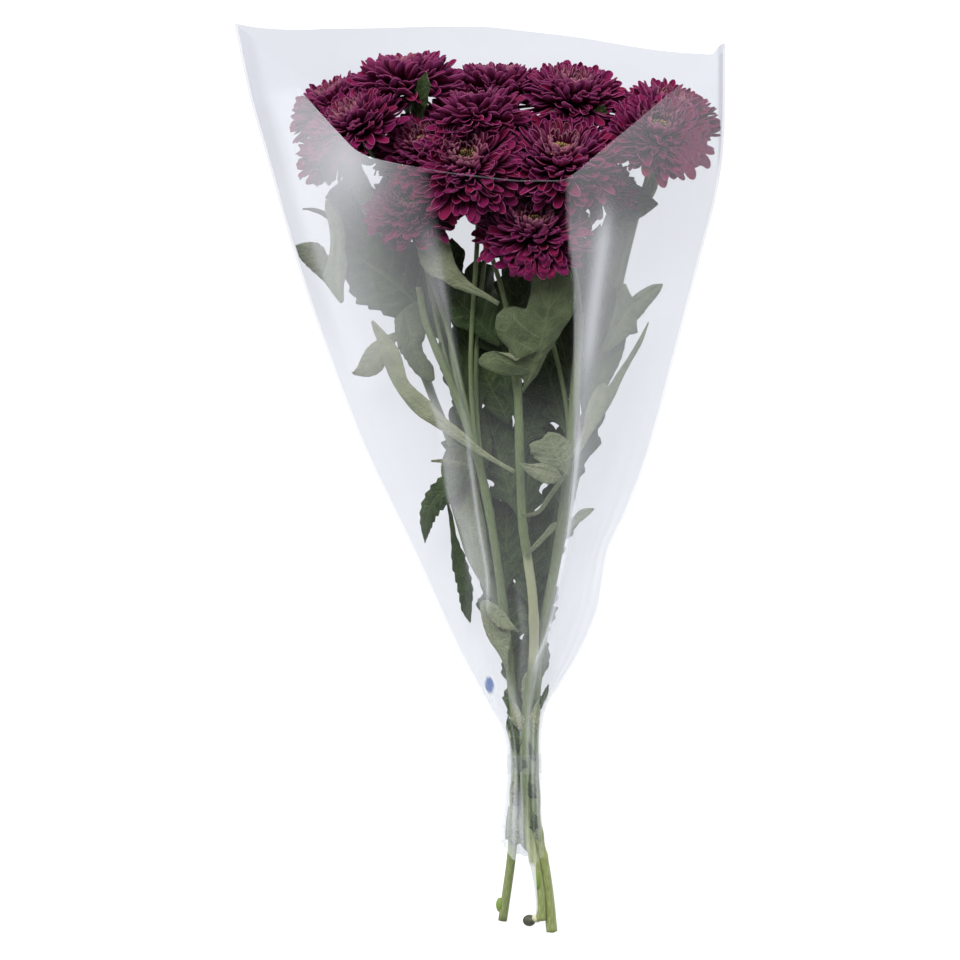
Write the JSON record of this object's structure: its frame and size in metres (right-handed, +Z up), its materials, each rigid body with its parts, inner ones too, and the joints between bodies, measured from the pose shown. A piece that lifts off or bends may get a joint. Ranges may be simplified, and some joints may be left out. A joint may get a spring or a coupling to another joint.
{
  "type": "wrapped spray chrysanthemum bouquet",
  "caption": "Florist's bunch of burgundy spray chrysanthemums, leafy stems gathered in a clear film sleeve with an open mouth and a taped neck, lying on its back.",
  "frame": {"origin": "on the surface the bunch lies on, under the middle of its bounding box", "axes": "+Y from the cut stem ends to the flowers, +X to the right seen from above with the flowers away from the viewer, +Z up through the front film"},
  "size_m": [0.304, 0.564, 0.1177],
  "materials": {
    "clear_film": "clear, faintly bluish polypropylene film with soft creases, whitish where it slants",
    "clear_tape": "clear adhesive tape, slightly milky",
    "foliage": "fresh ribbed stems and lobed leaves, dull dark green above and pale grey-green below",
    "petals": "velvety burgundy to magenta ray florets with paler rims",
    "disc_florets": "dull gold and green disc florets in a dark ring"
  },
  "bodies": {
    "root": {"sleeve": "clear_film", "neck_tape": "clear_tape", "stem_1": "foliage", "stem_2": "foliage", "stem_3": "foliage", "stem_4": "foliage", "stem_5": "foliage", "bloom_01": "petals", "disc_01": "disc_florets", "bloom_02": "petals", "disc_02": "disc_florets", "bloom_03": "petals", "disc_03": "disc_florets", "bloom_04": "petals", "disc_04": "disc_florets", "bloom_05": "petals", "disc_05": "disc_florets", "bloom_06": "petals", "disc_06": "disc_florets", "bloom_07": "petals", "disc_07": "disc_florets", "bloom_08": "petals", "disc_08": "disc_florets", "bloom_09": "petals", "disc_09": "disc_florets", "bloom_10": "petals", "disc_10": "disc_florets", "bloom_11": "petals", "disc_11": "disc_florets", "bloom_12": "petals", "disc_12": "disc_florets", "bloom_13": "petals", "disc_13": "disc_florets", "bloom_14": "petals", "disc_14": "disc_florets", "bloom_15": "petals", "disc_15": "disc_florets", "bloom_16": "petals", "disc_16": "disc_florets"}
  },
  "joints": []
}
